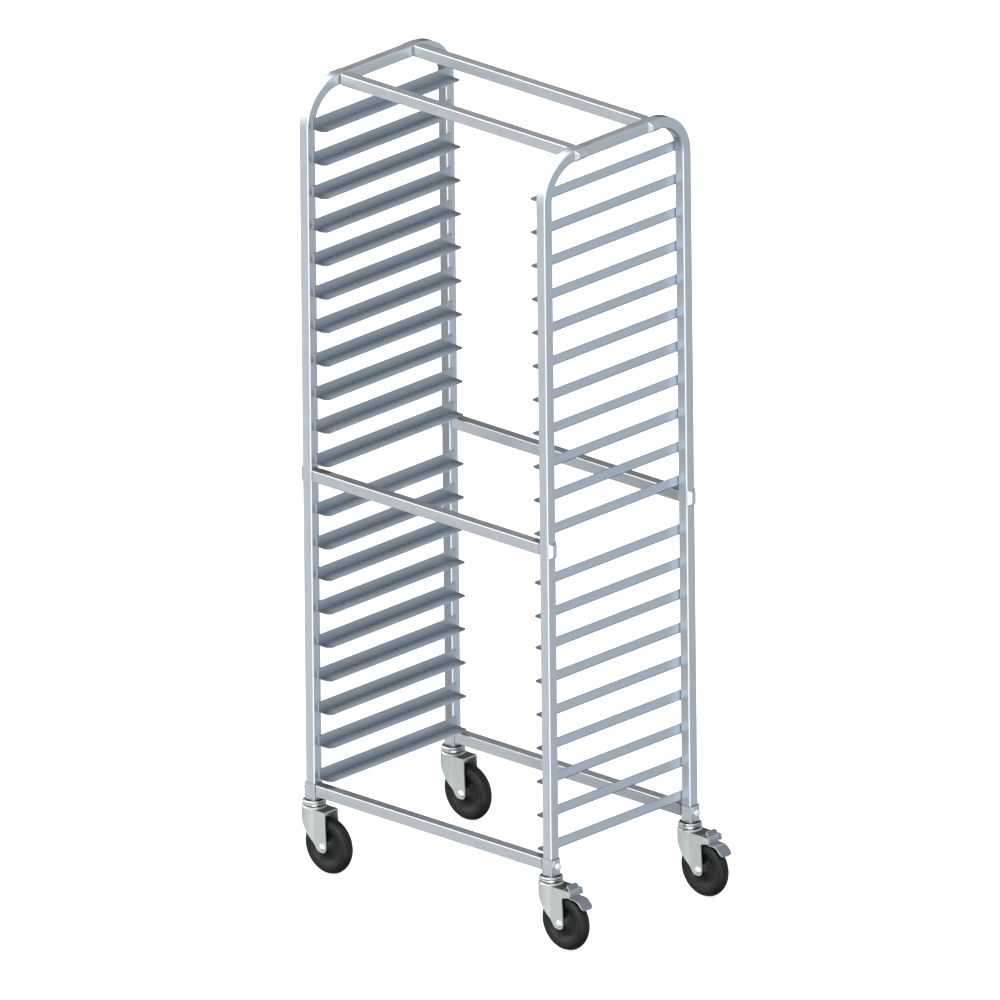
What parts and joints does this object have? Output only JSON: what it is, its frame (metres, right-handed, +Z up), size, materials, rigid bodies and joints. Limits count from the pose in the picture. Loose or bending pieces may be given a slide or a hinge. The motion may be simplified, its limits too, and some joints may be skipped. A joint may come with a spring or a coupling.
{
  "type": "sheet pan rack",
  "caption": "Open bakery rack of bent square tube with paired angle runners for sheet pans, side-loading, on swivel casters with brakes on one side.",
  "frame": {"origin": "on the floor, under the middle of the whole rack, casters and brake pedals included; the point midway between the four posts is 40.55 mm to -X of it", "axes": "+X across the rack along a pan's long side, towards the braked casters; +Y from the loading side to the back; +Z up"},
  "size_m": [0.827, 0.4866, 1.7843],
  "materials": {
    "tube": "satin mill-finish square tube, soft bright edges",
    "rail": "satin mill-finish square tube",
    "runner": "extruded angle, lengthwise drawn lines",
    "socket": "satin square tube and sleeve with a zinc-plated bolt and race",
    "fork": "bright zinc plate on pressed steel",
    "wheel": "black moulded rubber tyre on a black hub",
    "brake": "grey zinc plate on pressed steel",
    "pin": "plain steel rivet"
  },
  "bodies": {
    "rack_frame": {"side_tube_left": "tube", "side_tube_right": "tube", "top_rail_front": "rail", "top_rail_back": "rail", "middle_rail_front": "rail", "middle_rail_back": "rail", "bottom_rail_front": "socket", "bottom_rail_back": "socket", "runner_left_01": "runner", "runner_left_02": "runner", "runner_left_03": "runner", "runner_left_04": "runner", "runner_left_05": "runner", "runner_left_06": "runner", "runner_left_07": "runner", "runner_left_08": "runner", "runner_left_09": "runner", "runner_left_10": "runner", "runner_left_11": "runner", "runner_left_12": "runner", "runner_left_13": "runner", "runner_left_14": "runner", "runner_left_15": "runner", "runner_left_16": "runner", "runner_left_17": "runner", "runner_left_18": "runner", "runner_left_19": "runner", "runner_left_20": "runner", "runner_right_01": "runner", "runner_right_02": "runner", "runner_right_03": "runner", "runner_right_04": "runner", "runner_right_05": "runner", "runner_right_06": "runner", "runner_right_07": "runner", "runner_right_08": "runner", "runner_right_09": "runner", "runner_right_10": "runner", "runner_right_11": "runner", "runner_right_12": "runner", "runner_right_13": "runner", "runner_right_14": "runner", "runner_right_15": "runner", "runner_right_16": "runner", "runner_right_17": "runner", "runner_right_18": "runner", "runner_right_19": "runner", "runner_right_20": "runner"},
    "caster_front_left": {"caster_fork_front_left": "fork"},
    "wheel_front_left": {"caster_wheel_front_left": "wheel"},
    "caster_back_left": {"caster_fork_back_left": "fork"},
    "wheel_back_left": {"caster_wheel_back_left": "wheel"},
    "caster_front_right": {"caster_fork_front_right": "fork", "brake_pin_front_right": "pin"},
    "wheel_front_right": {"caster_wheel_front_right": "wheel"},
    "brake_front_right": {"brake_pedal_front_right": "brake"},
    "caster_back_right": {"caster_fork_back_right": "fork", "brake_pin_back_right": "pin"},
    "wheel_back_right": {"caster_wheel_back_right": "wheel"},
    "brake_back_right": {"brake_pedal_back_right": "brake"}
  },
  "joints": [
    {"name": "caster_front_left_swivel", "type": "hinge", "parent": "rack_frame", "child": "caster_front_left", "pos_m": [-0.38595, -0.2161, 0.1476], "axis": [0, 0, 1], "continuous": true},
    {"name": "wheel_front_left_spin", "type": "hinge", "parent": "caster_front_left", "child": "wheel_front_left", "pos_m": [-0.34345, -0.2161, 0.0635], "axis": [0, 1, 0], "continuous": true},
    {"name": "caster_back_left_swivel", "type": "hinge", "parent": "rack_frame", "child": "caster_back_left", "pos_m": [-0.38595, 0.2161, 0.1476], "axis": [0, 0, 1], "continuous": true},
    {"name": "wheel_back_left_spin", "type": "hinge", "parent": "caster_back_left", "child": "wheel_back_left", "pos_m": [-0.34345, 0.2161, 0.0635], "axis": [0, 1, 0], "continuous": true},
    {"name": "caster_front_right_swivel", "type": "hinge", "parent": "rack_frame", "child": "caster_front_right", "pos_m": [0.30485, -0.2161, 0.1476], "axis": [0, 0, 1], "continuous": true},
    {"name": "wheel_front_right_spin", "type": "hinge", "parent": "caster_front_right", "child": "wheel_front_right", "pos_m": [0.34735, -0.2161, 0.0635], "axis": [0, 1, 0], "continuous": true},
    {"name": "brake_front_right_press", "type": "hinge", "parent": "caster_front_right", "child": "brake_front_right", "pos_m": [0.36965, -0.2161, 0.1335], "axis": [0, 1, 0], "range_deg": [0, 12]},
    {"name": "caster_back_right_swivel", "type": "hinge", "parent": "rack_frame", "child": "caster_back_right", "pos_m": [0.30485, 0.2161, 0.1476], "axis": [0, 0, 1], "continuous": true},
    {"name": "wheel_back_right_spin", "type": "hinge", "parent": "caster_back_right", "child": "wheel_back_right", "pos_m": [0.34735, 0.2161, 0.0635], "axis": [0, 1, 0], "continuous": true},
    {"name": "brake_back_right_press", "type": "hinge", "parent": "caster_back_right", "child": "brake_back_right", "pos_m": [0.36965, 0.2161, 0.1335], "axis": [0, 1, 0], "range_deg": [0, 12]}
  ]
}
